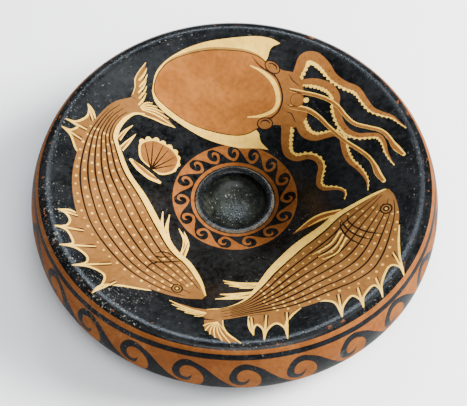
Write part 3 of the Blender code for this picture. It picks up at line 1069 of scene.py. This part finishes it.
def wrapping_tree():
    """Wraps a flat sheet on a turned outline: a point's distance from the middle is the
    length walked along the outline. Then gives each face the material of its paint."""
    tree = bpy.data.node_groups.new("turned_plate", "GeometryNodeTree")
    tree.interface.new_socket("Plate", in_out="OUTPUT", socket_type="NodeSocketGeometry")
    ids = {"sheet": node_input(tree, "Sheet", "Geometry")}
    ids["outline"] = node_input(tree, "Outline", "Object")
    for name in PAINTS:
        ids[name] = node_input(tree, f"Paint {name}", "Material")
    given = new_node(tree, "NodeGroupInput").outputs
    outline = new_node(tree, "GeometryNodeObjectInfo", {"Object": given["Outline"]})
    curve = new_node(tree, "GeometryNodeMeshToCurve", {0: outline.outputs["Geometry"]})
    position = new_node(tree, "GeometryNodeInputPosition").outputs[0]
    walk = vector_maths(tree, "LENGTH", position)["Value"]
    links = {"Curves": curve.outputs[0], "Length": walk}
    sample = new_node(tree, "GeometryNodeSampleCurve", links, mode="LENGTH")
    reach = parts(tree, sample.outputs["Position"])
    way = vector_maths(tree, "NORMALIZE", position)[0]
    links = {0: way, "Scale": reach["X"]}
    level = new_node(tree, "ShaderNodeVectorMath", links, operation="SCALE").outputs[0]
    place = vector_maths(tree, "ADD", level, joined(tree, Z=reach["Z"]))[0]
    links = {"Geometry": given["Sheet"], "Position": place}
    wrapped = new_node(tree, "GeometryNodeSetPosition", links)
    body = new_node(tree, "GeometryNodeRealizeInstances", {0: wrapped.outputs[0]}).outputs[0]
    paint = new_node(tree, "GeometryNodeInputNamedAttribute", {"Name": "paint"}, data_type="INT")
    for index, name in enumerate(PAINTS):
        links = {"A": paint.outputs["Attribute"], "B": index}
        here = new_node(tree, "FunctionNodeCompare", links, data_type="INT", operation="EQUAL")
        links = {"Geometry": body, "Selection": here.outputs[0], "Material": given[f"Paint {name}"]}
        body = new_node(tree, "GeometryNodeSetMaterial", links).outputs[0]
    new_node(tree, "NodeGroupOutput", {0: body})
    return tree, ids


def face_normals_out(mesh, walk):
    """Shades every point by the outline's own slope there, whatever the patches' shapes."""
    slope = np.gradient(OUTLINE, OUTLINE_LENGTH, axis=0)
    steps = np.arange(0, OUTLINE_LENGTH[-1], NORMAL_STEP)
    sharp = np.stack([np.interp(steps, OUTLINE_LENGTH, column) for column in slope.T])
    blur = np.hanning(2 * int(SHOULDER_EASE / NORMAL_STEP) + 1)
    eased = np.stack([np.convolve(row, blur / blur.sum(), "same") for row in sharp])
    crest = OUTLINE_LENGTH[np.argmax(OUTLINE[:, 1])]
    share = np.exp(-(((steps - crest) / SHOULDER_EASE) ** 4))
    slope = sharp * (1 - share) + eased * share
    out = np.stack([-np.interp(walk, steps, slope[1]), np.interp(walk, steps, slope[0])])
    places = np.array([v.co for v in mesh.vertices])
    radius = np.maximum(np.hypot(places[:, 0], places[:, 1]), 1e-9)
    normals = np.stack([out[0] * places[:, 0] / radius, out[0] * places[:, 1] / radius, out[1]], 1)
    mesh.normals_split_custom_set_from_vertices([tuple(n) for n in normals])


def unwrap(mesh, walk):
    """Lays the skin out flat as one disc, its top widest and the underside round the edge."""
    places = np.array([v.co[:2] for v in mesh.vertices])
    loops = np.empty(len(mesh.loops), int)
    mesh.loops.foreach_get("vertex_index", loops)
    ways = places[loops].reshape(-1, 3, 2)
    ways /= np.maximum(np.hypot(*ways.T).T, 1e-12)[:, :, None]
    pole = (np.hypot(*places[loops].T) < 1e-9).reshape(-1, 3)
    ways[pole] = (ways.sum(1) / np.hypot(*ways.sum(1).T)[:, None])[np.nonzero(pole)[0]]
    reach = np.interp(walk, (0, RIM_FOOT_LINE, OUTLINE_LENGTH[-1]), (0, TOP_SHARE, EDGE_SHARE))
    flat = 0.5 + ways * reach[loops].reshape(-1, 3, 1)
    mesh.uv_layers.new(name="OFBake").uv.foreach_set("vector", flat.ravel())


def make_plate():
    corners, faces, paint = cut_sheet()
    sheet = bpy.data.meshes.new("paint_sheet")
    sheet.from_pydata([(x * MM, y * MM, 0) for x, y in corners], [], faces.tolist())
    sheet.attributes.new("paint", "INT", "FACE").data.foreach_set("value", paint)
    walk = np.hypot(*corners.T)
    sheet.attributes.new("walk", "FLOAT", "POINT").data.foreach_set("value", walk)
    plate = bpy.data.objects.new("fish_plate_painted", sheet)
    bpy.context.scene.collection.objects.link(plate)
    points = [(r * MM, 0, z * MM) for r, z in OUTLINE]
    steps = [(i, i + 1) for i in range(len(points) - 1)]
    outline = guide("plate_outline", points, steps, [])
    tree, ids = wrapping_tree()
    values = {ids[name]: material for name, material in MATERIALS.items()}
    plate.data = evaluate(plate, tree, values | {ids["outline"]: outline})
    bpy.data.objects.remove(outline)
    shape = bmesh.new()
    shape.from_mesh(plate.data)
    bmesh.ops.remove_doubles(shape, verts=shape.verts, dist=CLOSING_GAP)
    bmesh.ops.dissolve_degenerate(shape, edges=shape.edges, dist=CLOSING_GAP)
    shape.to_mesh(plate.data)
    shape.free()
    plate.data.shade_smooth()
    walk = np.empty(len(plate.data.vertices))
    plate.data.attributes["walk"].data.foreach_get("value", walk)
    face_normals_out(plate.data, walk)
    unwrap(plate.data, walk)
    return plate


plate = make_plate()
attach(plate, "root")
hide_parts("fish_plate")
